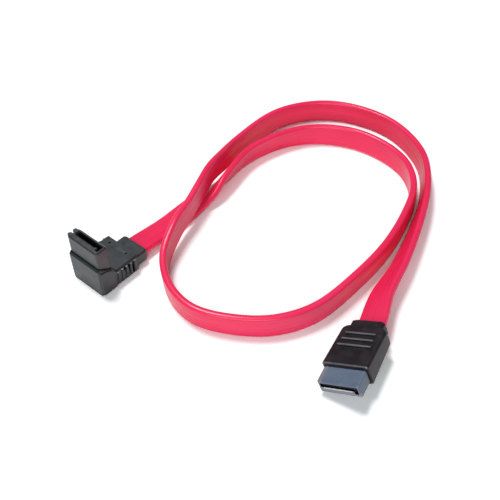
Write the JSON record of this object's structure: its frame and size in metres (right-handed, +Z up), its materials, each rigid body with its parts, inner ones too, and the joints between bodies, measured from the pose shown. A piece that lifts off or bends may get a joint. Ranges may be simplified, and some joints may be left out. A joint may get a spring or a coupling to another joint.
{
  "type": "sata data cable",
  "caption": "Flat red serial data cable in a loose loop, with a straight plug and a right-angle plug, each with an L-shaped slot and spring contacts.",
  "frame": {"origin": "on the table that the cable lies on, in the middle of the two plugs' overall box", "axes": "+Z up from the table, +X from the right-angle plug toward the straight plug, -Y the way the straight plug points"},
  "size_m": [0.1127, 0.1268, 0.0165],
  "materials": {
    "jacket": "glossy soft vinyl",
    "overmould": "semi-gloss black vinyl",
    "housing": "satin moulded plastic",
    "contact": "gold-flashed",
    "core": "satin insulation",
    "drain": "tinned copper"
  },
  "bodies": {
    "root": {"cable_jacket": "jacket", "straight_overmould": "overmould", "straight_housing": "housing", "straight_comb": "housing", "straight_contact_1": "contact", "straight_contact_2": "contact", "straight_contact_3": "contact", "straight_contact_4": "contact", "straight_contact_5": "contact", "straight_contact_6": "contact", "straight_contact_7": "contact", "straight_core_2": "core", "straight_core_3": "core", "straight_core_5": "core", "straight_core_6": "core", "straight_drain_1": "drain", "straight_drain_4a": "drain", "straight_drain_4b": "drain", "straight_drain_7": "drain", "angled_overmould": "overmould", "angled_housing": "housing", "angled_comb": "housing", "angled_contact_1": "contact", "angled_contact_2": "contact", "angled_contact_3": "contact", "angled_contact_4": "contact", "angled_contact_5": "contact", "angled_contact_6": "contact", "angled_contact_7": "contact", "angled_core_2": "core", "angled_core_3": "core", "angled_core_5": "core", "angled_core_6": "core", "angled_drain_1": "drain", "angled_drain_4a": "drain", "angled_drain_4b": "drain", "angled_drain_7": "drain"}
  },
  "joints": []
}
